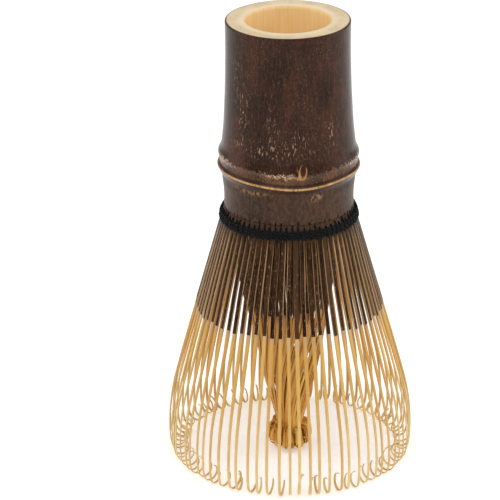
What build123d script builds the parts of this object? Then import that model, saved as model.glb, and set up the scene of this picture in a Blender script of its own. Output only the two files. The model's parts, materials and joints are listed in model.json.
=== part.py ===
from build123d import *

import math
import os

# Bamboo tea whisk, millimetres, +Z up.  It stands on its tine tips with the handle on top.
# The origin is on the surface that it stands on, below the middle of the handle.

# ---- driving dimensions --------------------------------------------------------------------
overall_height = 112.0
bore_radius = 10.35
diaphragm_top = 76.0
diaphragm_thickness = 2.2
slit_height = 65.5            # lower face of the unsplit culm, where the tines begin
root_gap = 0.12               # free space between the unsplit culm and a tine's root
tine_root_height = slit_height - root_gap

tine_count = 72
tine_pitch = 360.0 / tine_count
outer_tines_per_sector = 3
inner_tines_per_sector = 18

# outer tine, measured on its outer face
outer_root_radius = 15.75
outer_bow_height = 22.0       # the straight flare ends here and the bow to upright begins
outer_bow_radius = 28.35
outer_upright_height = 8.0
outer_root_thickness = 0.85
outer_bow_thickness = 0.42
outer_tip_thickness = 0.34
outer_root_width = 1.05
outer_tip_width = 0.66
hook_radius = 2.05            # outer face of the hook at the foot of an outer tine
hook_tip_height = 4.6
hook_tip_lean = 0.35

# inner tine, measured along its middle
inner_root_radius = 14.0
inner_waist = (7.45, 25.5)    # radius and height where the tines bend further in
inner_waist_bend = 80.0
inner_neck_height = 9.3
inner_neck_bend = 12.0
inner_neck_radii = (3.15, 2.55, 1.95)     # three nested layers
inner_layer_pattern = (0, 1, 0, 2, 0, 1)  # which layer each tine in turn belongs to
inner_thickness = 0.3
inner_root_width = 0.84
inner_foot_width = 0.34
curl_height = 3.8             # middle of the outward curls at the foot
curl_center_radius = 3.95
curl_tip_height = 7.6
curl_tip_step = 0.8           # each deeper layer's tip ends this much lower

# binding thread
thread_radius = 0.31
thread_rows = (61.95, 62.58, 63.21)
thread_clearance = 0.2        # kept between a row and the tines under it
lacing_radius = 0.3
lacing_rows = (63.1, 63.9)
lacing_ring_radius = 14.75

# outer face of the unsplit culm: (radius, height) points from the slits up to the rim
culm_below_node = ((15.65, slit_height), (15.6, 67.8), (15.85, 71.0), (16.3, 72.7))
culm_scar_ridge = ((16.3, 72.7), (17.05, 74.3), (17.24, 75.8), (16.76, 77.4))
culm_node_lip = ((16.76, 77.4), (16.95, 78.9), (16.56, 80.5), (15.95, 83.0))
culm_above_node = ((15.95, 83.0), (15.38, 89.7), (15.0, 98.8), (14.88, 107.0))
rim_radius = 14.95
rim_edge = 0.25
bore_flare_radius = 12.9      # inside of the wall at the slits, below the diaphragm

os.makedirs("parts", exist_ok=True)


def bow_arc(top, foot, lean):
    """Arc from top to foot, bowed away from the axis, that turns through the angle lean."""
    chord = math.dist(top, foot)
    sagitta = chord / 2 * math.tan(lean / 4)
    outward = ((top[1] - foot[1]) / chord, (foot[0] - top[0]) / chord)
    crown_radius = (top[0] + foot[0]) / 2 + outward[0] * sagitta
    crown_height = (top[1] + foot[1]) / 2 + outward[1] * sagitta
    return ThreePointArc(top, (crown_radius, crown_height), foot)


def half_turn(center, radius):
    """Half circle below center, from its far side round to the side nearer the axis."""
    far = (center[0] + radius, center[1])
    near = (center[0] - radius, center[1])
    return ThreePointArc(far, (center[0], center[1] - radius), near)


def tapered(profile, root_width, foot_width):
    """Give a flat profile in the XZ plane a width across it that narrows towards the foot."""
    slab = extrude(profile, amount=root_width, both=True)
    top = tine_root_height + 1
    taper = Plane.YZ * Polygon(
        (-foot_width / 2, -1),
        (foot_width / 2, -1),
        (root_width / 2, top),
        (-root_width / 2, top),
        align=None,
    )
    return slab & extrude(taper, amount=2 * outer_bow_radius)


def outer_tine():
    """Outer tine in the XZ plane: a straight flare, a bow to upright and an inward hook."""
    flare = math.atan2(outer_bow_radius - outer_root_radius, tine_root_height - outer_bow_height)
    upright_radius = outer_bow_radius + (outer_bow_height - outer_upright_height) * math.tan(flare / 2)
    inside_radius = upright_radius - outer_tip_thickness
    center = (upright_radius - hook_radius, hook_radius)
    hook_near = center[0] - hook_radius
    root = (outer_root_radius, tine_root_height)
    root_inside = (outer_root_radius - outer_root_thickness, tine_root_height)
    bow = (outer_bow_radius, outer_bow_height)
    bow_inside = (
        outer_bow_radius - outer_bow_thickness * math.cos(flare),
        outer_bow_height - outer_bow_thickness * math.sin(flare),
    )
    tip = (hook_near + hook_tip_lean, hook_tip_height)
    tip_inside = (tip[0] + outer_tip_thickness, hook_tip_height)
    with BuildSketch(Plane.XZ) as profile:
        with BuildLine():
            Line(root, bow)
            bow_arc(bow, (upright_radius, outer_upright_height), flare)
            Line((upright_radius, outer_upright_height), (upright_radius, hook_radius))
            half_turn(center, hook_radius)
            Polyline((hook_near, hook_radius), tip, tip_inside, (hook_near + outer_tip_thickness, hook_radius))
            half_turn(center, hook_radius - outer_tip_thickness)
            Line((inside_radius, hook_radius), (inside_radius, outer_upright_height))
            bow_arc(bow_inside, (inside_radius, outer_upright_height), flare)
            Polyline(bow_inside, root_inside, root)
        make_face()
    return tapered(profile.sketch, outer_root_width, outer_tip_width)


def inner_tine(layer):
    """Inner tine in the XZ plane: a bowed run in to the neck, then an outward curl."""
    neck_radius = inner_neck_radii[layer]
    curl_radius = curl_center_radius - neck_radius
    curl_outside = curl_center_radius + curl_radius
    tip_height = curl_tip_height - layer * curl_tip_step
    with BuildSketch(Plane.XZ) as profile:
        with BuildLine():
            FilletPolyline(
                (inner_root_radius, tine_root_height),
                inner_waist,
                (neck_radius, inner_neck_height),
                (neck_radius, curl_height),
                radius=[inner_waist_bend, inner_neck_bend],
            )
            half_turn((curl_center_radius, curl_height), curl_radius)
            Line((curl_outside, curl_height), (curl_outside, tip_height))
        trace(line_width=inner_thickness)
    return tapered(profile.sketch, inner_root_width, inner_foot_width)


def culm_handle():
    """Unsplit bamboo culm: open tube above, node ridge outside and diaphragm inside."""
    wall_top = overall_height
    below_diaphragm = diaphragm_top - diaphragm_thickness
    with BuildSketch(Plane.XZ) as profile:
        with BuildLine():
            Spline(*culm_below_node)
            Spline(*culm_scar_ridge)
            Spline(*culm_node_lip)
            Spline(*culm_above_node)
            Polyline(
                culm_above_node[-1],
                (rim_radius, wall_top - rim_edge),
                (rim_radius - rim_edge, wall_top),
                (bore_radius, wall_top),
                (bore_radius, diaphragm_top),
                (0, diaphragm_top),
                (0, below_diaphragm),
                (bore_radius, below_diaphragm),
                (bore_flare_radius, slit_height),
                culm_below_node[0],
            )
        make_face()
    return revolve(profile.sketch, Axis.Z)


def thread_ring(ring_radius, height, section_radius):
    """One closed turn of the binding thread."""
    return Pos(0, 0, height) * Torus(ring_radius, section_radius)


def outer_face_radius(height):
    """Radius of an outer tine's outer face on its straight flare."""
    slope = (outer_bow_radius - outer_root_radius) / (tine_root_height - outer_bow_height)
    return outer_root_radius + slope * (tine_root_height - height)


def fan(tines):
    """Tines side by side at the tine pitch, centred on +X."""
    first = -(len(tines) - 1) / 2
    return [Rot(0, 0, (first + place) * tine_pitch) * tine for place, tine in enumerate(tines)]


def write_sectors(name, tines):
    """Write the sector of tines once for each place round the whisk, numbered from +X."""
    sector = fan(tines)
    sector_count = tine_count // len(tines)
    for number in range(sector_count):
        turn = Rot(0, 0, number * 360.0 / sector_count)
        export_step(Compound([turn * tine for tine in sector]), f"parts/{name}_{number + 1:02d}.step")


# ---- handle --------------------------------------------------------------------------------
export_step(culm_handle(), "parts/culm_handle.step")

# ---- binding thread ------------------------------------------------------------------------
outer_rows = [
    thread_ring(outer_face_radius(z) + thread_clearance + thread_radius, z, thread_radius)
    for z in thread_rows
]
lacing = [thread_ring(lacing_ring_radius, z, lacing_radius) for z in lacing_rows]
export_step(Compound(outer_rows), "parts/thread_outer_rows.step")
export_step(Compound(lacing), "parts/thread_inner_lacing.step")

# ---- tines ---------------------------------------------------------------------------------
write_sectors("outer_tines", [outer_tine()] * outer_tines_per_sector)

layers = [inner_tine(layer) for layer in range(len(inner_neck_radii))]
repeats = inner_tines_per_sector // len(inner_layer_pattern)
write_sectors("inner_tines", [layers[layer] for layer in inner_layer_pattern * repeats])
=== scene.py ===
import json
import math
import random

import bpy
import numpy as np
from mathutils import Euler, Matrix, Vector


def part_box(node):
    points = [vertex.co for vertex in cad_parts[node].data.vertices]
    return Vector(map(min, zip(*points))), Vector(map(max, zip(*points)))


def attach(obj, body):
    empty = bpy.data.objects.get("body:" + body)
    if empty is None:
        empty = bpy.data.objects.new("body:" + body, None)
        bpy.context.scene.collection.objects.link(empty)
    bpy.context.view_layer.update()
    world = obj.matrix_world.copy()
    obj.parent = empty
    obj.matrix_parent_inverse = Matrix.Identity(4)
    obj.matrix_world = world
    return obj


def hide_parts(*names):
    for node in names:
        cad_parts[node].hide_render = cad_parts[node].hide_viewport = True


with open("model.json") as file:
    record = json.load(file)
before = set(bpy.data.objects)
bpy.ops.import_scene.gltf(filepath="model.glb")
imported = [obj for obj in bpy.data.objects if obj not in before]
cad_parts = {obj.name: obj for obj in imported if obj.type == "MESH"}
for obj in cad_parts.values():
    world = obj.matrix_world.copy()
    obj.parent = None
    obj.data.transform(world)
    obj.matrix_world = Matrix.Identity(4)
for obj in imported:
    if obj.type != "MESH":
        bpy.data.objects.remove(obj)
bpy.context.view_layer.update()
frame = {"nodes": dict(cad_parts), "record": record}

MM = 0.001
TINES = 72
PITCH = 2 * math.pi / TINES

# ---- sizes read from the frame, in millimetres ---------------------------------------------
culm_low, culm_high = (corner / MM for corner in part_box("culm_handle"))
tines_low, tines_high = (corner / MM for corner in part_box("outer_tines_01"))
SLIT_Z = culm_low.z                    # lower face of the unsplit culm
RIM_Z = culm_high.z
ROOT_Z = tines_high.z                  # where the tines begin
FLARE_R = tines_high.x                 # widest radius of the outer tines
BORE_R = frame["record"]["mounts"][0]["dims"]["r_mm"]
BORE_FLOOR_Z = RIM_Z - frame["record"]["mounts"][0]["dims"]["length_mm"]

# ---- small helpers -------------------------------------------------------------------------


def smooth_step(low, high, x):
    """0 below low, 1 above high, smooth between."""
    t = np.clip((np.asarray(x, float) - low) / (high - low), 0, 1)
    return t * t * (3 - 2 * t)


def bump_at(x, center, width):
    """A rounded hump of height 1 about center."""
    return np.exp(-(((np.asarray(x, float) - center) / width) ** 2))


def make_object(name, points, faces, materials, face_slots, attributes=()):
    """A smooth mesh object from points in millimetres.  attributes: (name, kind, values)."""
    mesh = bpy.data.meshes.new(name)
    mesh.from_pydata((np.asarray(points) * MM).tolist(), [], faces)
    for material in materials:
        mesh.materials.append(material)
    mesh.polygons.foreach_set("material_index", np.asarray(face_slots, np.int32))
    mesh.polygons.foreach_set("use_smooth", np.ones(len(faces), bool))
    for attribute_name, kind, values in attributes:
        attribute = mesh.attributes.new(attribute_name, kind, "POINT")
        field = "vector" if kind == "FLOAT_VECTOR" else "value"
        attribute.data.foreach_set(field, np.asarray(values, np.float32).ravel())
    mesh.validate()
    piece = bpy.data.objects.new(name, mesh)
    bpy.context.scene.collection.objects.link(piece)
    return piece


def place(piece, body, slot, *nodes):
    """Let a finished piece ride on its body, and stand for its CAD nodes."""
    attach(piece, body)
    if nodes:
        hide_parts(*nodes)


# ---- materials -----------------------------------------------------------------------------


class Shader:
    """A Principled material that is built node by node."""

    def __init__(self, name, roughness=0.5, specular=0.3, **sockets):
        self.material = bpy.data.materials.new(name)
        self.material.use_nodes = True
        self.tree = self.material.node_tree
        self.main = self.tree.nodes["Principled BSDF"]
        self.main.inputs["Roughness"].default_value = roughness
        self.main.inputs["Specular IOR Level"].default_value = specular
        for socket, value in sockets.items():
            self.main.inputs[socket.replace("_", " ")].default_value = value

    def node(self, kind, inputs=None, **settings):
        made = self.tree.nodes.new("ShaderNode" + kind)
        for key, value in settings.items():
            setattr(made, key, value)
        for key, value in (inputs or {}).items():
            self.feed(made.inputs[key], value)
        return made

    def feed(self, socket, value):
        if isinstance(value, bpy.types.NodeSocket):
            self.tree.links.new(value, socket)
        elif isinstance(value, tuple) and len(value) == 3 and socket.type == "RGBA":
            socket.default_value = (*value, 1.0)
        else:
            socket.default_value = value

    def attribute(self, name, output="Fac"):
        return self.node("Attribute", attribute_name=name).outputs[output]

    def math(self, operation, a, b=0.0):
        return self.node("Math", {0: a, 1: b}, operation=operation).outputs[0]

    def times(self, a, b):
        return self.math("MULTIPLY", a, b)

    def away_from(self, value, center):
        """Distance of value from center."""
        return self.math("ABSOLUTE", self.math("SUBTRACT", value, center))

    def ramp(self, value, low, high, to_low=0.0, to_high=1.0):
        """Map value from low..high to to_low..to_high, held at both ends."""
        inputs = {"Value": value, 1: low, 2: high, 3: to_low, 4: to_high}
        return self.node("MapRange", inputs, interpolation_type="SMOOTHSTEP").outputs[0]

    def noise(self, vector, scale, detail=3.0, roughness=0.5, stretch=(1, 1, 1)):
        moved = self.node("Mapping", {"Vector": vector, "Scale": stretch}).outputs[0]
        inputs = {"Vector": moved, "Scale": scale, "Detail": detail, "Roughness": roughness}
        return self.node("TexNoise", inputs).outputs["Fac"]

    def cells(self, vector, scale, randomness=1.0):
        """Distance from the nearest of many scattered points."""
        inputs = {"Vector": vector, "Scale": scale, "Randomness": randomness}
        return self.node("TexVoronoi", inputs, feature="F1").outputs["Distance"]

    def mix(self, factor, a, b):
        made = self.node("Mix", data_type="RGBA")
        self.feed(made.inputs[0], factor)
        self.feed(made.inputs[6], a)
        self.feed(made.inputs[7], b)
        return made.outputs[2]

    def bump(self, height, strength, distance_mm):
        inputs = {"Height": height, "Strength": strength, "Distance": distance_mm * MM}
        self.feed(self.main.inputs["Normal"], self.node("Bump", inputs).outputs[0])

    def color(self, value):
        self.feed(self.main.inputs["Base Color"], value)

    def set(self, socket, value):
        self.feed(self.main.inputs[socket], value)


def srgb(red, green, blue):
    """A linear colour from 0..255 screen values."""
    channels = (red / 255, green / 255, blue / 255)
    return tuple(c / 12.92 if c <= 0.04045 else ((c + 0.055) / 1.055) ** 2.4 for c in channels)


def culm_skin_material():
    """Smoked bamboo skin: dark brown, waxed and flecked, with a lighter band at the node.

    Attributes: place is the position in mm, scar_height the height above the scar ridge in mm;
    stain, wear, bud and slit_shade are shares from 0 to 1. slit_shade marks the saw slits, which
    are painted with shade."""
    m = Shader("smoked_culm_skin", specular=0.12)
    place_mm = m.attribute("place", "Vector")
    scar = m.attribute("scar_height")
    stain = m.attribute("stain")
    cloud = m.noise(place_mm, 0.09, 4, 0.6, (1, 1, 0.55))
    patch = m.noise(place_mm, 0.22, 4, 0.6, (1, 1, 0.4))
    mottle = m.noise(place_mm, 1.3, 3, 0.7, (1, 1, 0.6))
    fibre = m.noise(place_mm, 2.6, 4, 0.65, (1, 1, 0.09))
    fine = m.noise(place_mm, 5.0, 2, 0.6, (1, 1, 0.3))
    fleck = m.noise(place_mm, 2.6, 3, 0.62, (1, 1, 0.3))
    speckle = m.noise(place_mm, 4.2, 2, 0.5, (1, 1, 0.7))

    tone = m.mix(m.ramp(cloud, 0.36, 0.66), srgb(37, 20, 12), srgb(58, 34, 22))
    tone = m.mix(m.ramp(patch, 0.5, 0.72, 0, 0.7), tone, srgb(86, 42, 26))
    tone = m.mix(m.ramp(mottle, 0.35, 0.65, 0.35, 0), tone, srgb(30, 18, 13))
    tone = m.mix(m.ramp(fibre, 0.45, 0.7, 0, 0.4), tone, srgb(84, 56, 40))
    tone = m.mix(m.ramp(fine, 0.55, 0.75, 0, 0.4), tone, srgb(100, 72, 54))
    specks = m.times(m.ramp(speckle, 0.6, 0.72), m.ramp(cloud, 0.4, 0.6, 0.15, 0.6))
    tone = m.mix(specks, tone, srgb(128, 98, 78))
    worn = m.times(m.ramp(fleck, 0.56, 0.68), m.attribute("wear"))
    tone = m.mix(m.times(worn, 0.8), tone, srgb(190, 158, 128))
    below = m.ramp(scar, -0.9, -2.2)
    olive = m.mix(m.ramp(cloud, 0.35, 0.65), srgb(44, 28, 21), srgb(66, 47, 36))
    olive = m.mix(m.ramp(mottle, 0.4, 0.68, 0, 0.35), olive, srgb(86, 64, 50))
    olive = m.mix(m.ramp(fine, 0.5, 0.3, 0, 0.35), olive, srgb(38, 25, 18))
    rubbed = m.times(m.ramp(mottle, 0.42, 0.58), m.attribute("wear"))
    olive = m.mix(m.times(rubbed, 0.8), olive, srgb(172, 130, 86))
    tone = m.mix(m.times(below, 0.85), tone, olive)

    ragged = m.times(m.math("SUBTRACT", m.noise(place_mm, 1.1, 4, 0.75), 0.5), 4.2)
    edge = m.math("ADD", scar, ragged)
    band = m.times(m.ramp(edge, 3.9, 2.2), m.ramp(scar, 0.2, 0.5))
    band_tone = m.mix(m.ramp(patch, 0.35, 0.65), srgb(60, 34, 22), srgb(112, 76, 52))
    band_tone = m.mix(m.ramp(mottle, 0.5, 0.66, 0, 0.85), band_tone, srgb(52, 27, 17))
    band_tone = m.mix(m.ramp(speckle, 0.44, 0.32, 0, 0.6), band_tone, srgb(164, 126, 94))
    tone = m.mix(m.times(band, m.ramp(stain, 0.3, 1.0, 0.62, 1)), tone, band_tone)
    crust = m.times(m.ramp(m.away_from(edge, 3.0), 0.6, 0.1), stain)
    tone = m.mix(m.times(crust, m.ramp(speckle, 0.42, 0.56)), tone, srgb(208, 176, 144))
    # painted shadow: a dark line in the recess just above the scar ridge, where shade falls
    painted_recess_shadow = m.times(m.ramp(scar, 0.34, 0.5), m.ramp(scar, 1.1, 0.75))
    tone = m.mix(m.times(painted_recess_shadow, 0.7), tone, srgb(34, 18, 12))
    line = m.ramp(m.away_from(scar, 0.0), 0.34, 0.16)
    line_tone = m.mix(m.ramp(fibre, 0.35, 0.65), srgb(146, 104, 62), srgb(206, 162, 108))
    tone = m.mix(line, tone, line_tone)
    tone = m.mix(m.times(m.attribute("bud"), 0.9), tone, srgb(204, 148, 86))
    # painted shade: the saw slits are coloured near black, for the shade inside them
    tone = m.mix(m.attribute("slit_shade"), tone, srgb(16, 10, 8))
    m.color(tone)
    dullness = m.math("ADD", fibre, m.times(below, 0.45))
    m.set("Roughness", m.ramp(dullness, 0.3, 1.1, 0.2, 0.4))
    pits = m.times(mottle, m.ramp(band, 0, 1, 0.4, 1.2))
    m.bump(m.math("ADD", m.times(fibre, 0.6), pits), 0.4, 0.12)
    return m.material


def cut_end_material():
    """Sawn end of the culm: cream, with brown fibre ends that crowd towards the skin."""
    m = Shader("sawn_culm_end", roughness=0.62, specular=0.2)
    place_mm = m.attribute("place", "Vector")
    out = m.attribute("stain")
    dots = m.cells(place_mm, 2.1, 0.85)
    fine_dots = m.cells(place_mm, 4.4)
    cloud = m.noise(place_mm, 0.25, 3)
    tone = m.mix(m.ramp(cloud, 0.35, 0.65), srgb(212, 190, 154), srgb(224, 204, 168))
    tone = m.mix(m.ramp(out, 0.6, 0.1, 0, 0.7), tone, srgb(238, 220, 186))
    inner = m.times(m.ramp(dots, 0.3, 0.12), m.ramp(out, 0.1, 0.6, 0.25, 0.5))
    tone = m.mix(inner, tone, srgb(178, 142, 100))
    outer = m.times(m.ramp(fine_dots, 0.35, 0.12), m.ramp(out, 0.55, 1.0, 0, 0.75))
    tone = m.mix(outer, tone, srgb(146, 112, 80))
    tone = m.mix(m.ramp(out, 0.93, 1.0, 0, 0.8), tone, srgb(96, 80, 66))
    m.color(tone)
    m.bump(m.math("ADD", dots, cloud), 0.25, 0.06)
    return m.material


def bore_material():
    """Golden inner wall of the culm, with long fibres and a papery lining."""
    m = Shader("culm_inner_wall", roughness=0.6, specular=0.2)
    place_mm = m.attribute("place", "Vector")
    fibre = m.noise(place_mm, 1.6, 4, 0.6, (1, 1, 0.06))
    cloud = m.noise(place_mm, 0.16, 3, 0.5, (1, 1, 0.5))
    tone = m.mix(m.ramp(fibre, 0.3, 0.7), srgb(250, 212, 146), srgb(255, 224, 166))
    tone = m.mix(m.ramp(cloud, 0.4, 0.7, 0, 0.5), tone, srgb(250, 218, 162))
    m.color(tone)
    m.bump(fibre, 0.3, 0.1)
    return m.material


def tine_skin_material():
    """Outer face of a tine above the shaving: a strip of the culm's dark skin.

    At the root it takes the tone that the culm has just above it."""
    m = Shader("tine_dark_skin", specular=0.07)
    grain = m.attribute("grain", "Vector")
    shade = m.attribute("shade")
    fibre = m.noise(grain, 3.2, 4, 0.6, (1, 0.1, 1))
    cloud = m.noise(grain, 0.2, 3, 0.6, (1, 0.6, 1))
    fleck = m.noise(grain, 3.0, 3, 0.6, (1, 0.35, 1))
    tone = m.mix(m.ramp(cloud, 0.35, 0.65), srgb(32, 16, 8), srgb(60, 37, 22))
    tone = m.mix(m.ramp(fibre, 0.45, 0.72, 0, 0.45), tone, srgb(98, 70, 46))
    tone = m.mix(m.ramp(fleck, 0.58, 0.7, 0, 0.6), tone, srgb(160, 128, 94))
    tone = m.mix(m.ramp(shade, 0, 0.6, 0.6, 0.0), tone, srgb(18, 9, 5))
    tone = m.mix(m.ramp(shade, 0.7, 1, 0, 0.6), tone, srgb(92, 68, 48))
    tone = m.mix(m.ramp(m.attribute("run"), 0.04, 0.02, 0, 0.8), tone, srgb(70, 50, 39))
    m.color(tone)
    m.set("Roughness", m.ramp(fibre, 0.3, 0.7, 0.26, 0.42))
    m.bump(fibre, 0.3, 0.06)
    return m.material


def tine_flesh_material(name, dark, sides, upper, lower):
    """Split and shaved bamboo: brown at the root, golden below the skin, paler towards the tips.

    sides, upper and lower are pairs of tones, for tines of the darkest and the lightest shade.
    sides is the tone of the split sides above the shaving: partly their own stain, partly painted
    shade between the crowded tines."""
    m = Shader(name, specular=0.25)
    grain = m.attribute("grain", "Vector")
    shade = m.attribute("shade")
    run = m.attribute("run")
    fibre = m.noise(grain, 4.0, 4, 0.6, (1, 0.05, 1))
    long_cloud = m.noise(grain, 0.5, 3, 0.5, (1, 0.25, 1))
    tone = m.mix(m.ramp(run, 0.5, 0.9), m.mix(shade, *upper), m.mix(shade, *lower))
    # stain and painted shade: the split sides above the shaving are darker, partly their own stain,
    # partly shade between the tines
    tone = m.mix(m.ramp(run, 0.41, 0.37), tone, m.mix(shade, *sides))
    tone = m.mix(m.ramp(run, 0.1, 0.03, 0, 0.9), tone, srgb(38, 24, 16))
    tone = m.mix(m.ramp(fibre, 0.55, 0.3, 0, 0.5), tone, dark)
    tone = m.mix(m.ramp(long_cloud, 0.5, 0.75, 0, 0.35), tone, dark)
    m.color(tone)
    m.set("Roughness", m.ramp(fibre, 0.3, 0.7, 0.42, 0.6))
    m.bump(fibre, 0.25, 0.05)
    return m.material


def thread_material():
    """Black cotton thread: twisted plies with a little dull sheen."""
    m = Shader("black_cotton_thread", 0.85, 0.08, Sheen_Weight=0.06, Sheen_Roughness=0.5)
    grain = m.attribute("grain", "Vector")
    waves = {"Vector": grain, "Scale": 0.55, "Distortion": 0.6, "Detail": 2.0}
    plies = m.node("TexWave", waves, wave_type="BANDS", bands_direction="DIAGONAL")
    twist = plies.outputs["Fac"]
    fuzz = m.noise(grain, 6.0, 3, 0.7)
    tone = m.mix(m.ramp(twist, 0.2, 0.9), srgb(4, 4, 7), srgb(26, 24, 25))
    tone = m.mix(m.ramp(fuzz, 0.62, 0.8, 0, 0.35), tone, srgb(48, 44, 43))
    m.color(tone)
    m.bump(m.math("ADD", twist, m.times(fuzz, 0.5)), 0.6, 0.12)
    return m.material


def floor_material():
    """Plain pale studio table with a barely visible mottle."""
    m = Shader("pale_table", roughness=0.75, specular=0.1)
    coords = m.node("TexCoord").outputs["Object"]
    cloud = m.noise(coords, 4.0, 2)
    m.color(m.mix(cloud, (0.93, 0.92, 0.91), (0.96, 0.955, 0.95)))
    m.set("Emission Color", (1, 0.99, 0.97, 1))
    m.set("Emission Strength", 0.3)
    return m.material


CULM_SKIN = culm_skin_material()
CUT_END = cut_end_material()
BORE_WALL = bore_material()
TINE_SKIN = tine_skin_material()
OUTER_FLESH = tine_flesh_material(
    "outer_tine_flesh",
    srgb(180, 138, 80),
    # split sides above the shaving: stain with painted shade
    (srgb(172, 134, 86), srgb(212, 178, 128)),
    (srgb(198, 143, 66), srgb(218, 177, 93)),
    (srgb(213, 174, 114), srgb(230, 210, 148)),
)
INNER_FLESH = tine_flesh_material(
    "inner_tine_flesh",
    srgb(136, 82, 24),
    # split sides above the shaving: stain with painted shade, darker still inside the bundle
    (srgb(96, 64, 36), srgb(176, 134, 86)),
    (srgb(196, 138, 58), srgb(224, 173, 91)),
    (srgb(206, 141, 49), srgb(234, 180, 86)),
)
THREAD = thread_material()

# ---- culm ----------------------------------------------------------------------------------
CULM_SEGMENTS = 8 * TINES
SCAR_Z = 75.8                          # height of the sheath-scar ridge away from the bud
LIP_Z = 78.9
BUD_ANGLE = math.radians(-81)          # the bud sits on the camera's side
SLIT_TOP = 66.1                        # the saw slits end about here
FOOT_R = 12.9                          # inside of the wall at the slits
DIAPHRAGM = 2.2                        # thickness of the wall that closes the bore
RIM_DROP = 0.02                        # the sawn rim stays this much below the frame's top
RIM_CHAMFER = 0.28
BORE_CHAMFER = 0.14
# smooth culm without its node: height and radius
CULM_PROFILE = (
    (65.0, 15.66),
    (67.5, 15.58),
    (70.0, 15.68),
    (72.0, 15.95),
    (76.0, 16.2),
    (80.0, 16.22),
    (83.0, 15.9),
    (86.0, 15.6),
    (89.7, 15.38),
    (94.0, 15.16),
    (98.8, 15.01),
    (104.0, 14.9),
    (108.0, 14.9),
    (112.0, 14.95),
)
# rings of the node: height, how far each stands out, half width
NODE_RINGS = (
    (SCAR_Z - 0.15, 0.86, 1.35),
    (SCAR_Z, 0.16, 0.34),
    (LIP_Z, 0.72, 1.35),
    (SCAR_Z + 0.75, -0.3, 0.32),
)
# strokes of the bud scar: foot beside the bud, lean, height, bend
BUD_STROKES = (
    (-0.75, -0.1, 2.3, 0.5),
    (0.05, 0.2, 3.4, -0.45),
    (0.75, 0.28, 2.9, 0.4),
)
# crusts on the node's band: angle from the bud, half width
CRUSTS = ((-0.3, 0.22), (1.1, 0.3), (-1.35, 0.25), (2.6, 0.4), (-2.5, 0.3))
# worn spots: angle from the bud, height, half width and half height
WORN_SPOTS = (
    (-0.95, 93.0, 0.1, 5.5),
    (-1.15, 101.0, 0.08, 4.0),
    (-0.42, 89.0, 0.07, 3.5),
    (-0.02, 86.5, 0.12, 2.0),
    (-0.5, 84.0, 0.5, 1.6),
    (0.55, 88.0, 0.1, 3.0),
    (0.22, 72.2, 0.07, 0.8),
    (0.3, 72.4, 0.04, 0.6),
    (-0.75, 73.2, 0.25, 0.5),
    (2.2, 95.0, 0.2, 6.0),
    (-2.3, 88.0, 0.15, 5.0),
    (2.9, 100.0, 0.3, 4.0),
)


def from_bud(angle):
    """Angle from the bud, between -pi and pi."""
    return np.angle(np.exp(1j * (angle - BUD_ANGLE)))


def scar_drop(angle):
    """How far the node's ring sags at each angle: a dip under the bud, and a slight wave."""
    wave = 0.16 * np.sin(angle + 2.2) + 0.08 * np.sin(3 * angle + 0.6)
    return 0.55 * bump_at(from_bud(angle), 0, 0.5) + wave


def bud_strokes(angle, z):
    """Flame-shaped scar of the branch bud: three thin curved strokes that rise from the ring."""
    along = from_bud(angle) * 16.5
    total = np.zeros_like(z)
    for foot, lean, height, bend in BUD_STROKES:
        rise = (z - (SCAR_Z + 2.0)) / height
        center = foot + lean * rise * 2 + bend * np.sin(np.clip(rise, 0, 1) * math.pi)
        width = 0.17 * np.clip(1.15 - rise, 0.35, 1)
        stroke = bump_at(along, center, width)
        stroke = stroke * smooth_step(-0.25, 0.05, rise) * smooth_step(1.05, 0.8, rise)
        total = np.maximum(total, stroke)
    foot_patch = bump_at(along, 0.1, 0.9) * bump_at(z, SCAR_Z + 1.9, 0.35)
    return np.clip(np.maximum(total, 0.55 * foot_patch), 0, 1)


def culm_outside(angle, z):
    """Radius of the culm's outside at each angle and height, with the node and the bud."""
    local = z + scar_drop(angle)
    radius = np.interp(z, *zip(*CULM_PROFILE))
    for height, stands_out, half_width in NODE_RINGS:
        radius = radius + stands_out * bump_at(local, height, half_width)
    oval = 0.06 * np.cos(2 * angle + 0.7) + 0.03 * np.cos(5 * angle + z * 0.09)
    return radius + oval + 0.14 * bud_strokes(angle, z)


def culm_ring_heights():
    """Heights of the culm's rings: close together at the slits and the node."""
    slits = np.arange(SLIT_Z, 67.2, 0.17)
    plain = np.arange(67.2, 73.0, 0.5)
    node = np.arange(73.0, 83.0, 0.2)
    upper = np.arange(83.0, RIM_Z - 0.9, 0.7)
    return np.concatenate([slits, plain, node, upper, [RIM_Z - 0.5, RIM_Z - 0.28]])


def slit_grooves(angle, z):
    """Depth share, 0 to 1, of the saw slits that run a little way up from the tines. The share sets
    both their depth and the painted shade inside them.
    """
    slot = np.floor(angle / PITCH).astype(int) % TINES
    rng = np.random.default_rng(41)
    top = SLIT_TOP + rng.uniform(-0.45, 0.55, TINES)[slot]
    beside = np.abs((angle / PITCH) % 1.0 - 0.5)
    width = 0.1 * np.clip((top - z) / (SLIT_TOP - SLIT_Z), 0, 1) + 1e-6
    return np.clip(1.4 - beside / width, 0, 1) * (z < top)


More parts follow.
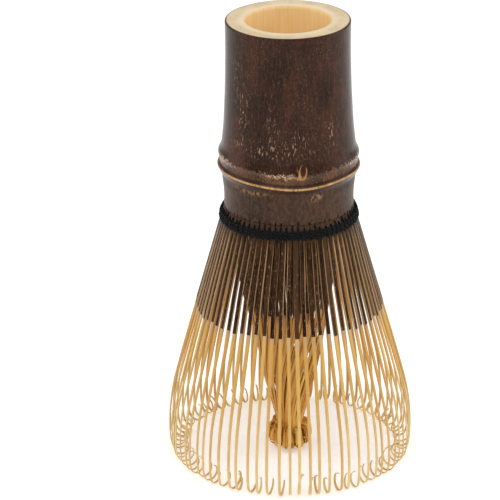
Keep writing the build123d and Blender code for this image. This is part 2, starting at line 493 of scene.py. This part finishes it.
def build_culm():
    """The unsplit culm: skin, sawn rim, bore, diaphragm and hollow underside, as one shell."""
    n = CULM_SEGMENTS
    angle = (np.arange(n) + 0.5) * 2 * math.pi / n
    beside_bud = from_bud(angle)
    nothing = np.zeros(n)
    rings, slots = [], []

    def ring(radius, z, slot_above, stain=0.0, skin=False):
        z_row = np.broadcast_to(np.asarray(z, float), (n,))
        r_row = np.broadcast_to(np.asarray(radius, float), (n,))
        rings.append((r_row, z_row, stain, skin))
        slots.append(slot_above)

    skin_slot, end_slot, bore_slot = 0, 1, 2
    ring(FOOT_R, SLIT_Z, end_slot)
    for z in culm_ring_heights():
        grooves = slit_grooves(angle, z)
        ring(culm_outside(angle, np.full(n, z)) - 0.5 * grooves, z, skin_slot, skin=True)
    top_radius = culm_outside(angle, np.full(n, RIM_Z - 0.3))
    rim_z = RIM_Z - RIM_DROP
    rim_outside = top_radius - RIM_CHAMFER
    rim_inside = BORE_R + BORE_CHAMFER
    ring(top_radius - 0.1, RIM_Z - 0.1, skin_slot, skin=True)
    ring(rim_outside, rim_z, end_slot, stain=1.0)
    for share in (0.97, 0.8, 0.6, 0.4, 0.2):
        edge = rim_inside + (rim_outside - rim_inside) * share
        ring(edge, rim_z + 0.012 * math.sin(9 * share), end_slot, stain=share)
    ring(rim_inside, rim_z, end_slot)
    ring(BORE_R, rim_z - BORE_CHAMFER, bore_slot)
    for z in np.linspace(RIM_Z - 1.0, BORE_FLOOR_Z + 0.8, 24):
        ring(BORE_R, z, bore_slot)
    for share in (0.97, 0.88, 0.7, 0.45, 0.2, 0.002):
        ring(BORE_R * share, BORE_FLOOR_Z + 0.55 * share**6, bore_slot)
    below = BORE_FLOOR_Z - DIAPHRAGM
    for share in (0.002, 0.3, 0.6, 0.9, 0.99):
        ring(BORE_R * share, below - 0.4 * share**4, bore_slot)
    for z in np.linspace(below - 1.2, SLIT_Z + 0.3, 6):
        ring(BORE_R + (FOOT_R - BORE_R) * (below - z) / (below - SLIT_Z), z, bore_slot)

    points, stain, wear, scar, bud, slit_shade = [], [], [], [], [], []
    side_crust = 0.12 + sum(bump_at(beside_bud, at, width) for at, width in CRUSTS)
    for radius, z, stain_value, skin in rings:
        points.append(np.stack([radius * np.cos(angle), radius * np.sin(angle), z], 1))
        stain.append(np.clip(side_crust, 0, 1) if skin else np.full(n, stain_value))
        worn = [bump_at(beside_bud, a, da) * bump_at(z, h, dh) for a, h, da, dh in WORN_SPOTS]
        wear.append(np.clip(0.08 + sum(worn), 0, 1))
        scar.append(z + scar_drop(angle) - SCAR_Z)
        bud.append(bud_strokes(angle, z) if skin else nothing)
        # share of saw slit at each point, used only to paint shade into the slits
        slit_shade.append(slit_grooves(angle, z) if skin else nothing)
    points = np.concatenate(points)
    faces, face_slots = [], []
    for row in range(len(rings)):
        here, above = row * n, ((row + 1) % len(rings)) * n
        for k in range(n):
            after = (k + 1) % n
            faces.append((here + k, here + after, above + after, above + k))
        face_slots += [slots[row]] * n
    attributes = [
        ("place", "FLOAT_VECTOR", points),
        ("stain", "FLOAT", np.concatenate(stain)),
        ("wear", "FLOAT", np.concatenate(wear)),
        ("scar_height", "FLOAT", np.concatenate(scar)),
        ("bud", "FLOAT", np.concatenate(bud)),
        ("slit_shade", "FLOAT", np.concatenate(slit_shade)),
    ]
    materials = [CULM_SKIN, CUT_END, BORE_WALL]
    return make_object("culm", points, faces, materials, face_slots, attributes)


place(build_culm(), "handle", "culm_skin", "culm_handle")

# ---- bent strips ---------------------------------------------------------------------------
SHARP_BEND = 0.12                      # a piece that turns more, in radians a mm, is curled


def trace_path(start, pieces, curled_step=0.16, plain_step=1.6):
    """Follow a line down from start, which is a radius and a height.

    Each piece is its length and its heading at the start and at the end.  A heading is measured
    from straight down, in radians, outward positive.  Returns radius, height and distance along
    the line, with close points where the line curls and few where it is nearly straight."""
    radius, height, travelled = [start[0]], [start[1]], [0.0]
    for length, first, last in pieces:
        turn = abs(last - first)
        spacing = curled_step if turn / length > SHARP_BEND else plain_step
        count = max(6 if turn > 1e-4 else 2, math.ceil(length / spacing))
        part = length / count
        for k in range(count):
            heading = first + (last - first) * (k + 0.5) / count
            radius.append(radius[-1] + part * math.sin(heading))
            height.append(height[-1] - part * math.cos(heading))
            travelled.append(travelled[-1] + part)
    return np.array(radius), np.array(height), np.array(travelled)


def strip(azimuth, radius, height, aside, top, bottom, half_width, twist):
    """Rings of an eight-sided strip, and each point's place across it and under its path.

    Its path lies in its outer face; aside is its sideways offset from the azimuth.  top and bottom
    are the depths of its two faces under the path."""
    out = np.stack([np.cos(azimuth), np.sin(azimuth), np.zeros_like(azimuth)], 1)
    side = np.stack([-np.sin(azimuth), np.cos(azimuth), np.zeros_like(azimuth)], 1)
    path = out * radius[:, None] + side * aside[:, None]
    path[:, 2] = height
    tangent = np.gradient(path, axis=0)
    tangent /= np.linalg.norm(tangent, axis=1)[:, None]
    across = side - tangent * (side * tangent).sum(1)[:, None]
    across /= np.linalg.norm(across, axis=1)[:, None]
    normal = np.cross(tangent, across)
    turned = across * np.cos(twist)[:, None] + normal * np.sin(twist)[:, None]
    normal = np.cross(tangent, turned)
    edge = np.minimum(0.1, np.minimum(half_width, (bottom - top) / 2) * 0.45)
    a, b = half_width, half_width - edge
    corners = [
        (-b, -top),
        (b, -top),
        (a, -top - edge),
        (a, -bottom + edge),
        (b, -bottom),
        (-b, -bottom),
        (-a, -bottom + edge),
        (-a, -top - edge),
    ]
    rings = [path + turned * w[:, None] + normal * d[:, None] for w, d in corners]
    sideways = [w for w, _ in corners]
    deep = [-d for _, d in corners]
    return np.stack(rings, 1), np.stack(sideways, 1), np.stack(deep, 1)


class StripBatch:
    """Collects strips into one mesh with grain, shade and run attributes and two material slots."""

    def __init__(self):
        self.points, self.faces, self.slots = [], [], []
        self.grain, self.shade, self.run = [], [], []
        self.count = 0

    def add(self, rings, sideways, deep, travelled, shade, seed, skin_rings, skin_sides):
        """Add one strip.  skin_sides are skin on its first skin_rings rings, all else is flesh."""
        rows, sides = sideways.shape
        self.points.append(rings.reshape(-1, 3))
        along = np.broadcast_to(travelled[:, None], sideways.shape)
        grain = np.stack([sideways + seed * 7.3, along + seed * 31.7, deep + seed * 3.1], 2)
        self.grain.append(grain.reshape(-1, 3))
        self.shade.append(np.full(rows * sides, shade))
        self.run.append((along / travelled[-1]).ravel())
        base = self.count
        for row in range(rows - 1):
            here, after = base + row * sides, base + (row + 1) * sides
            for k in range(sides):
                n = (k + 1) % sides
                self.faces.append((here + k, after + k, after + n, here + n))
                self.slots.append(0 if row < skin_rings and k in skin_sides else 1)
        self.faces.append(tuple(base + k for k in range(sides)))
        self.faces.append(tuple(base + (rows - 1) * sides + k for k in reversed(range(sides))))
        self.slots += [0, 1]
        self.count += rows * sides

    def build(self, name, materials):
        attributes = [
            ("grain", "FLOAT_VECTOR", np.concatenate(self.grain)),
            ("shade", "FLOAT", np.concatenate(self.shade)),
            ("run", "FLOAT", np.concatenate(self.run)),
        ]
        points = np.concatenate(self.points)
        return make_object(name, points, self.faces, materials, self.slots, attributes)


ALL_SKIN = (0, 1, 7)                   # the outer face of a strip and its two chamfers
SOME_SKIN = ((0, 1, 7), (0, 1, 7), (0, 1), (0, 7))     # one chamfer may have lost its skin
SHAVE_Z = 39.3                         # the dark skin is shaved off below this height
SHAVE_LINE = 0.08                      # the skin ends within this length
LEAST_BODY = 0.14                      # least thickness of a tine under its shaved face


def cut_at(height, travelled, shave_z):
    """Distance along a line at which it comes down to shave_z."""
    below = int(np.argmax(height < shave_z))
    part = (height[below - 1] - shave_z) / (height[below - 1] - height[below])
    return travelled[below - 1] + part * (travelled[below] - travelled[below - 1])


def sections_along(samples, from_root, from_tip):
    """Width and thickness of a tine at each distance in samples."""
    tip_part = [(samples[-1] - back, width, depth) for back, width, depth in from_tip]
    stops, widths, depths = zip(*from_root, *tip_part)
    return np.interp(samples, stops, widths), np.interp(samples, stops, depths)


def with_cut(radius, height, travelled, shave_z):
    """The line with two more points about the place where its skin ends, and that place."""
    at = cut_at(height, travelled, shave_z)
    samples = np.sort(np.concatenate([travelled, [at - SHAVE_LINE / 2, at + SHAVE_LINE / 2]]))
    return np.interp(samples, travelled, radius), np.interp(samples, travelled, height), samples, at


# ---- outer tines ---------------------------------------------------------------------------
ROOT_TOP = SLIT_Z - 0.01               # the visible tines all but meet the unsplit culm
OUTER_ROOT_R = 15.64
OUTER_LEAN = math.radians(16.1)
OUTER_SECTORS = sum(name.startswith("outer_tines") for name in frame["nodes"])
OUTER_PER_SECTOR = TINES // OUTER_SECTORS
TIGHT_SIDE = math.radians(222)         # here the ring of feet is a little narrower
CAGE_TWIST = math.radians(-1.3)        # slight turn of the ring of tines against their roots
BOW_START = 17.0                       # length of the slightly bent end of the flare
FREE_DRIFT = 0.42                      # a tine may stray this far sideways within its sector
EDGE_DRIFT = 0.04                      # and this far towards the next sector
# distance from an outer tine's root, width and thickness there
OUTER_FROM_ROOT = (
    (0, 1.2, 0.85),
    (1.8, 1.16, 0.85),
    (4.5, 1.06, 0.8),
    (26, 0.97, 0.62),
    (36, 0.9, 0.5),
    (46, 0.77, 0.4),
    (58, 0.69, 0.36),
)
# the same, with the distance from its tip
OUTER_FROM_TIP = (
    (9, 0.66, 0.34),
    (4, 0.58, 0.3),
    (0, 0.4, 0.2),
)


def outer_line(azimuth, rng):
    """One outer tine's line: straight flare, bow to upright, hook turned in, up and back.

    The straight part's length and lean are settled in a few rounds, so that the hook stands on
    the table and the bow is as wide as it should be."""
    from_tight = math.remainder(azimuth - TIGHT_SIDE, 2 * math.pi)
    widest = FLARE_R - rng.uniform(0.04, 0.4) - 0.35 * bump_at(from_tight, 0, 0.8)
    lean = OUTER_LEAN
    upright = math.radians(rng.uniform(-3.0, -1.0))
    hook_radius = rng.uniform(1.75, 2.35)
    hook_start, hook_up = -math.radians(15), -math.pi
    back_radius = rng.uniform(2.1, 3.2)
    hook_end = hook_up - math.radians(rng.uniform(30, 92))
    bottom = max(0.0, rng.gauss(0.05, 0.12))
    straight = 42.0
    for _ in range(6):
        pieces = [
            (straight - BOW_START, lean, lean * 1.02),
            (BOW_START, lean * 1.02, lean * 0.94),
            (15.0, lean * 0.94, upright),
            (2.8, upright, hook_start),
            (hook_radius * (hook_start - hook_up), hook_start, hook_up),
            (back_radius * (hook_up - hook_end), hook_up, hook_end),
        ]
        radius, height, travelled = trace_path((OUTER_ROOT_R, ROOT_TOP), pieces)
        straight += (height.min() - bottom) / math.cos(lean)
        lean += (widest - radius.max()) / (straight + 8.0)
    return radius, height, travelled


def sideways_ends(rng):
    """How far each outer tine's hook leans sideways, kept apart where two sectors meet."""
    ends = [rng.uniform(-1.1, 1.1) for _ in range(TINES)]
    for k in range(TINES):
        starts_sector = (k + 1) % OUTER_PER_SECTOR == 0
        room = 0.1 if starts_sector else 1.2
        ends[k] = max(ends[k], ends[k - 1] - room)
    return ends


def add_outer_tine(batch, number, end_lean, rng):
    """Add outer tine number to the batch; number 0 points along +X."""
    azimuth = number * PITCH + rng.uniform(-0.003, 0.003)
    shave_z = SHAVE_Z + rng.uniform(-0.45, 0.45)
    radius, height, samples, at = with_cut(*outer_line(azimuth, rng), shave_z)
    end = samples[-1]
    curled = smooth_step(end - 9.5, end, samples)
    place_in_sector = (number + 1) % OUTER_PER_SECTOR
    low = -EDGE_DRIFT if place_in_sector == 0 else -FREE_DRIFT
    high = EDGE_DRIFT if place_in_sector == OUTER_PER_SECTOR - 1 else FREE_DRIFT
    drift = rng.uniform(low, high) * smooth_step(0.35, 0.8, samples / end)
    sway = rng.uniform(-0.12, 0.12)
    wander = sway * np.sin(samples / end * rng.uniform(4, 7) + rng.uniform(0, 6))
    aside = drift + wander * smooth_step(1, 20, samples) + end_lean * curled**1.4
    width, thickness = sections_along(samples, OUTER_FROM_ROOT, OUTER_FROM_TIP)
    half_width = rng.uniform(0.92, 1.04) * 0.5 * width
    top = 0.1 * smooth_step(at - SHAVE_LINE / 2, at + SHAVE_LINE / 2, samples)
    bottom = np.maximum(thickness, top + LEAST_BODY)
    twist = rng.uniform(-0.12, 0.12) * samples / end + rng.uniform(-0.5, 0.5) * curled
    azimuth = azimuth + CAGE_TWIST * smooth_step(64, 46, height)
    rings = strip(azimuth, radius, height, aside, top, bottom, half_width, twist)
    skin_rings = int(np.searchsorted(samples, at))
    skin_sides = random.Random(number + 500).choice(SOME_SKIN)
    batch.add(*rings, samples, rng.random(), number + 1, skin_rings, skin_sides)


def build_outer_tines():
    """All outer tines, one piece for each sector, each on a body of its own."""
    rng = random.Random(72)
    ends = sideways_ends(rng)
    for sector in range(OUTER_SECTORS):
        batch = StripBatch()
        for k in range(OUTER_PER_SECTOR):
            number = sector * OUTER_PER_SECTOR + k - (OUTER_PER_SECTOR - 1) // 2
            add_outer_tine(batch, number, ends[number], rng)
        name = f"outer_tines_{sector + 1:02d}"
        piece = batch.build(f"tine_fan_{sector + 1:02d}", [TINE_SKIN, OUTER_FLESH])
        place(piece, name, "outer_tine", name)


build_outer_tines()

# ---- inner tines ---------------------------------------------------------------------------
INNER_SECTORS = sum(name.startswith("inner_tines") for name in frame["nodes"])
INNER_PER_SECTOR = TINES // INNER_SECTORS
INNER_ROOT_R = 14.15
INNER_LEAN = math.radians(9.3)
INNER_LAYERS = (0, 1, 0, 2, 0, 1)      # nested layers at the neck; layer 2 curls round the others
# for each layer
NECK_RADII = (3.3, 2.7, 2.05)
CURL_RADII = (0.8, 1.08, 1.38)
CURL_BOTTOMS = (2.7, 1.9, 1.05)
# lengths of the parts above the curl
WAIST_BEND = 7.0
WAIST_TO_NECK = 9.0
NECK_BEND = 2.6
NECK = 2.4
BULGE_SIDE = math.radians(195)         # here the bundle is a little fuller
BUNDLE_TWIST = math.radians(-36)       # turn of the bundle between its middle and its neck
# distance from an inner tine's root, width and thickness there
INNER_FROM_ROOT = (
    (0, 0.86, 0.5),
    (26, 0.79, 0.42),
    (40, 0.72, 0.34),
    (50, 0.64, 0.3),
    (57, 0.66, 0.28),
    (60, 0.92, 0.26),
)
# the same, with the distance from its tip
INNER_FROM_TIP = (
    (2, 0.8, 0.22),
    (0, 0.4, 0.16),
)


def inner_line(layer, rng):
    """One inner tine's line: bowed in to the neck, then curled outward, up and back over.

    The straight part's length and the lean below the waist are settled in a few rounds, so that
    the curl and the neck come where they should be."""
    neck_r = NECK_RADII[layer] + rng.uniform(-0.12, 0.12)
    curl_radius = CURL_RADII[layer] * rng.uniform(0.88, 1.0)
    bottom = CURL_BOTTOMS[layer] + rng.uniform(-0.15, 0.35)
    rise = rng.uniform(0.8, 3.0)
    over_radius = rng.uniform(0.9, 1.4)
    over_end = math.pi + math.radians(rng.uniform(90, 170))
    curl_end = over_end + math.radians(rng.uniform(30, 120))
    lean = INNER_LEAN + math.radians(0.55 * layer + rng.uniform(-0.2, 0.2))
    neck_lean, straight = math.radians(17), 35.0
    above_curl = WAIST_BEND + WAIST_TO_NECK + NECK_BEND + NECK
    lever = WAIST_BEND / 2 + WAIST_TO_NECK + 1.0
    for _ in range(8):
        pieces = [
            (straight, -lean, -lean),
            (WAIST_BEND, -lean, -neck_lean),
            (WAIST_TO_NECK, -neck_lean, -neck_lean),
            (NECK_BEND, -neck_lean, 0),
            (NECK, 0, math.radians(4)),
            (0.9, math.radians(4), math.radians(20)),
            (curl_radius * math.radians(160), math.radians(20), math.pi),
            (rise, math.pi, math.pi + 0.15),
            (over_radius * (over_end - math.pi - 0.15), math.pi + 0.15, over_end),
            (0.6 * over_radius * (curl_end - over_end), over_end, curl_end),
        ]
        radius, height, travelled = trace_path((INNER_ROOT_R, ROOT_TOP), pieces, 0.2, 2.0)
        straight += (height.min() - bottom) / math.cos(lean)
        neck_lean += (radius[travelled < straight + above_curl].min() - neck_r) / lever
    return radius, height, travelled


def add_inner_tine(batch, place_number, rng):
    """Add one inner tine; they stand half a pitch away from the outer ones."""
    layer = INNER_LAYERS[place_number % len(INNER_LAYERS)]
    shave_z = SHAVE_Z + rng.uniform(-0.5, 0.5)
    radius, height, samples, at = with_cut(*inner_line(layer, rng), shave_z)
    end = samples[-1]
    azimuth = (place_number + 0.5) * PITCH + rng.gauss(0, 0.012)
    from_bulge = math.remainder(azimuth - BULGE_SIDE, 2 * math.pi)
    radius = radius + 1.3 * bump_at(from_bulge, 0, 0.5) * bump_at(height, 45, 10)
    azimuth = azimuth + BUNDLE_TWIST * smooth_step(40, 7, height)
    azimuth = azimuth + rng.uniform(-0.04, 0.04) * smooth_step(50, 20, height)
    past_neck = smooth_step(end - 13, end - 2, samples)
    aside = rng.uniform(-0.1, 0.1) * smooth_step(50, 25, height)
    aside = aside + rng.uniform(-0.6, 0.6) * past_neck
    width, thickness = sections_along(samples, INNER_FROM_ROOT, INNER_FROM_TIP)
    half_width = rng.uniform(0.84, 1.08) * 0.5 * width
    top = 0.07 * smooth_step(at - SHAVE_LINE / 2, at + SHAVE_LINE / 2, samples)
    bottom = np.maximum(thickness, top + LEAST_BODY)
    twist = rng.uniform(-0.9, 0.9) * past_neck + rng.uniform(-0.15, 0.15)
    rings = strip(azimuth, radius, height, aside, top, bottom, half_width, twist)
    skin_rings = int(np.searchsorted(samples, at))
    batch.add(*rings, samples, rng.random(), place_number + 101, skin_rings, ALL_SKIN)


def build_inner_tines():
    """All inner tines, one piece for each quarter of the bundle."""
    rng = random.Random(31)
    for sector in range(INNER_SECTORS):
        batch = StripBatch()
        first = sector * INNER_PER_SECTOR - INNER_PER_SECTOR // 2
        for k in range(INNER_PER_SECTOR):
            add_inner_tine(batch, first + k, rng)
        name = f"inner_tines_{sector + 1:02d}"
        piece = batch.build(f"tine_bundle_{sector + 1:02d}", [TINE_SKIN, INNER_FLESH])
        place(piece, name, "inner_tine", name)


build_inner_tines()

# ---- thread --------------------------------------------------------------------------------
ROW_COUNT = 3
ROW_R = 0.31
ROW_LIFT = 0.55                        # the rows lie this much higher than in the frame
ROW_OUT = 0.2                          # from a tine's outer face to the middle of a row
ROW_DIP = 0.3                          # how far a row sinks into each gap
LACING_R = 0.3
LACING_DIP = 0.2
THREAD_SIDES = 10
THREAD_STEPS = 14                      # points along the thread for each tine
# a loop's outline: how far out of the rows, and its share of the way up across them
LOOP_OUTLINE = (
    (-0.75, -0.15),
    (-0.05, 0.0),
    (0.2, 0.35),
    (0.14, 0.75),
    (-0.2, 1.0),
    (-0.7, 1.1),
)


def tube(points, radii, sides):
    """Points and faces of a tube along points, closed at both ends.  radii: one for each point."""
    tangent = np.gradient(points, axis=0)
    tangent /= np.linalg.norm(tangent, axis=1)[:, None]
    side = np.cross(tangent, [0.0, 0.0, 1.0])
    side /= np.linalg.norm(side, axis=1)[:, None]
    other = np.cross(side, tangent)
    around = (np.arange(sides) * 2 * math.pi / sides)[None, :, None]
    offsets = side[:, None] * np.cos(around) + other[:, None] * np.sin(around)
    rings = points[:, None] + offsets * np.asarray(radii)[:, None, None]
    faces = []
    for row in range(len(points) - 1):
        here, after = row * sides, (row + 1) * sides
        for k in range(sides):
            n = (k + 1) % sides
            faces.append((here + k, here + n, after + n, after + k))
    faces.append(tuple(reversed(range(sides))))
    faces.append(tuple((len(points) - 1) * sides + k for k in range(sides)))
    return rings.reshape(-1, 3), faces


def thread_row(center_radius, center_z, section, dip, seed):
    """One closed row of thread: it bulges over each tine and dips into each gap."""
    rng = np.random.default_rng(seed)
    count = TINES * THREAD_STEPS
    angle = np.arange(count) * 2 * math.pi / count
    in_pitch = (angle / PITCH + 0.5) % 1.0
    tine = np.floor(angle / PITCH + 0.5).astype(int) % TINES
    hump = np.sin(in_pitch * math.pi) ** 2
    gap = np.exp(-((np.minimum(in_pitch, 1 - in_pitch) / 0.15) ** 2))
    radius = center_radius - dip * gap + rng.uniform(-0.05, 0.06, TINES)[tine] * hump
    height = center_z + rng.uniform(-0.07, 0.07, TINES)[tine] * hump
    height = height + 0.04 * np.sin(3 * angle + seed)
    thick = section * (1 - 0.15 * gap) * (1 + rng.uniform(-0.07, 0.07, TINES)[tine] * hump)
    around = np.arange(THREAD_SIDES) * 2 * math.pi / THREAD_SIDES
    rough = rng.uniform(0.94, 1.06, (count, THREAD_SIDES))
    out = radius[:, None] + 0.92 * thick[:, None] * np.cos(around)[None] * rough
    up = height[:, None] + thick[:, None] * np.sin(around)[None] * rough
    points = np.stack([out * np.cos(angle)[:, None], out * np.sin(angle)[:, None], up], 2)
    along = np.broadcast_to((angle * center_radius)[:, None], out.shape)
    grain = np.stack([along, np.broadcast_to(around * section * 2.4, out.shape), out * 0], 2)
    faces = []
    for row in range(count):
        here, after = row * THREAD_SIDES, ((row + 1) % count) * THREAD_SIDES
        for k in range(THREAD_SIDES):
            n = (k + 1) % THREAD_SIDES
            faces.append((here + k, after + k, after + n, here + n))
    return points.reshape(-1, 3), faces, grain.reshape(-1, 3)


def thread_loops(radius, bottom_z, top_z):
    """Short loops that come out of each gap, cross the rows and go back in above them."""
    rng = np.random.default_rng(19)
    made = []
    for number in range(TINES):
        angle = (number + 0.5) * PITCH + rng.uniform(-0.012, 0.012)
        rise = rng.uniform(0.1, 1.1)
        slope = rng.uniform(-0.2, 0.2)
        points = []
        for out, share in LOOP_OUTLINE:
            z = bottom_z + (top_z + rise - bottom_z) * share
            r = radius + out - math.tan(OUTER_LEAN) * (z - bottom_z)
            aside = slope * (share - 0.5)
            x = r * math.cos(angle) - aside * math.sin(angle)
            y = r * math.sin(angle) + aside * math.cos(angle)
            points.append((x, y, z))
        dense = np.linspace(0, len(points) - 1, 16)
        columns = [np.interp(dense, range(len(points)), column) for column in zip(*points)]
        points = np.stack(columns, 1)
        made.append((points, np.full(len(points), rng.uniform(0.2, 0.29))))
    return made


def build_thread(name, node, rows, loops=()):
    """One piece of thread.  rows: (radius, height, section radius, dip); loops: (points, radii)."""
    points, faces, grain, base = [], [], [], 0
    for seed, row in enumerate(rows):
        row_points, row_faces, row_grain = thread_row(*row, seed + 5)
        faces += [tuple(base + k for k in face) for face in row_faces]
        base += len(row_points)
        points.append(row_points)
        grain.append(row_grain)
    for line, radii in loops:
        loop_points, loop_faces = tube(line, radii, THREAD_SIDES)
        faces += [tuple(base + k for k in face) for face in loop_faces]
        base += len(loop_points)
        points.append(loop_points)
        grain.append(loop_points[:, [2, 0, 1]])
    attributes = [("grain", "FLOAT_VECTOR", np.concatenate(grain))]
    piece = make_object(name, np.concatenate(points), faces, [THREAD], [0] * len(faces), attributes)
    place(piece, "handle", "thread", node)


def flare_radius(z):
    """Radius of the outer tines' outer faces on their straight flare."""
    return OUTER_ROOT_R + math.tan(OUTER_LEAN) * (ROOT_TOP - z)


def build_outer_rows():
    """The rows wound round the outer tines, and the loops that cross them."""
    low, high = (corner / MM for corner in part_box("thread_outer_rows"))
    step = (high.z - low.z - 2 * ROW_R) / (ROW_COUNT - 1)
    heights = [low.z + ROW_LIFT + ROW_R + step * k for k in range(ROW_COUNT)]
    rows = [(flare_radius(z) + ROW_OUT, z, 1.12 * ROW_R, ROW_DIP) for z in heights]
    bottom_z, top_z = low.z + ROW_LIFT, high.z + ROW_LIFT
    loops = thread_loops(flare_radius(bottom_z) + ROW_OUT, bottom_z, top_z)
    build_thread("thread_wraps", "thread_outer_rows", rows, loops)


def build_lacing():
    """The two rows between the outer and the inner tines."""
    low, high = (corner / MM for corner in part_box("thread_inner_lacing"))
    heights = (low.z + LACING_R, high.z - LACING_R)
    rows = [(high.x - LACING_R, z, LACING_R, LACING_DIP) for z in heights]
    build_thread("thread_lacing", "thread_inner_lacing", rows)


build_outer_rows()
build_lacing()

# ---- stage, lights and camera --------------------------------------------------------------


def build_floor():
    """A large pale table under the whisk."""
    bpy.ops.mesh.primitive_plane_add(size=6, location=(0, 0, -0.0001))
    floor = bpy.context.object
    floor.name = "table"
    floor.data.materials.append(floor_material())


def add_area_light(name, location, target, size, power):
    """A rectangular soft light at location, in metres, aimed at target."""
    data = bpy.data.lights.new(name, "AREA")
    data.shape = "RECTANGLE"
    data.size, data.size_y = size
    data.energy = power
    light = bpy.data.objects.new(name, data)
    light.location = location
    aim = Vector(target) - Vector(location)
    light.rotation_euler = aim.to_track_quat("-Z", "Y").to_euler()
    bpy.context.scene.collection.objects.link(light)


def build_lights():
    """Soft studio light from above and both sides; the camera's side stays darker."""
    world = bpy.data.worlds.new("studio")
    bpy.context.scene.world = world
    world.use_nodes = True
    background = world.node_tree.nodes["Background"]
    background.inputs["Color"].default_value = (1, 1, 1, 1)
    background.inputs["Strength"].default_value = 0.5
    center = (0, 0, 0.05)
    add_area_light("top_soft", (0.0, -0.45, 0.9), center, (1.0, 1.0), 4.8)
    add_area_light("left_soft", (-0.85, 0.1, 0.4), center, (0.7, 0.8), 2.4)
    add_area_light("right_soft", (0.85, 0.1, 0.4), center, (0.7, 0.8), 2.8)


CAMERA_DISTANCE = 0.7335               # from the whisk's axis, level
CAMERA_HEIGHT = 0.3572
CAMERA_PITCH = math.radians(22.53)
CAMERA_ASIDE = -0.0095                 # the whisk stands a little right of the view's middle
CAMERA_ROLL = math.radians(-0.53)
CAMERA_LENS = 234.7


def build_camera():
    """Long lens, looking down on the whisk's front."""
    data = bpy.data.cameras.new("camera")
    data.lens = CAMERA_LENS
    data.sensor_width = 36
    data.clip_start, data.clip_end = 0.01, 20
    data.dof.use_dof = False
    camera = bpy.data.objects.new("camera", data)
    camera.location = (CAMERA_ASIDE, -CAMERA_DISTANCE, CAMERA_HEIGHT)
    tilt = Euler((math.pi / 2 - CAMERA_PITCH, 0, 0)).to_matrix()
    camera.rotation_euler = (tilt @ Euler((0, 0, CAMERA_ROLL)).to_matrix()).to_euler()
    bpy.context.scene.collection.objects.link(camera)
    bpy.context.scene.camera = camera


build_floor()
build_lights()
build_camera()
bpy.context.scene.view_settings.view_transform = "Standard"
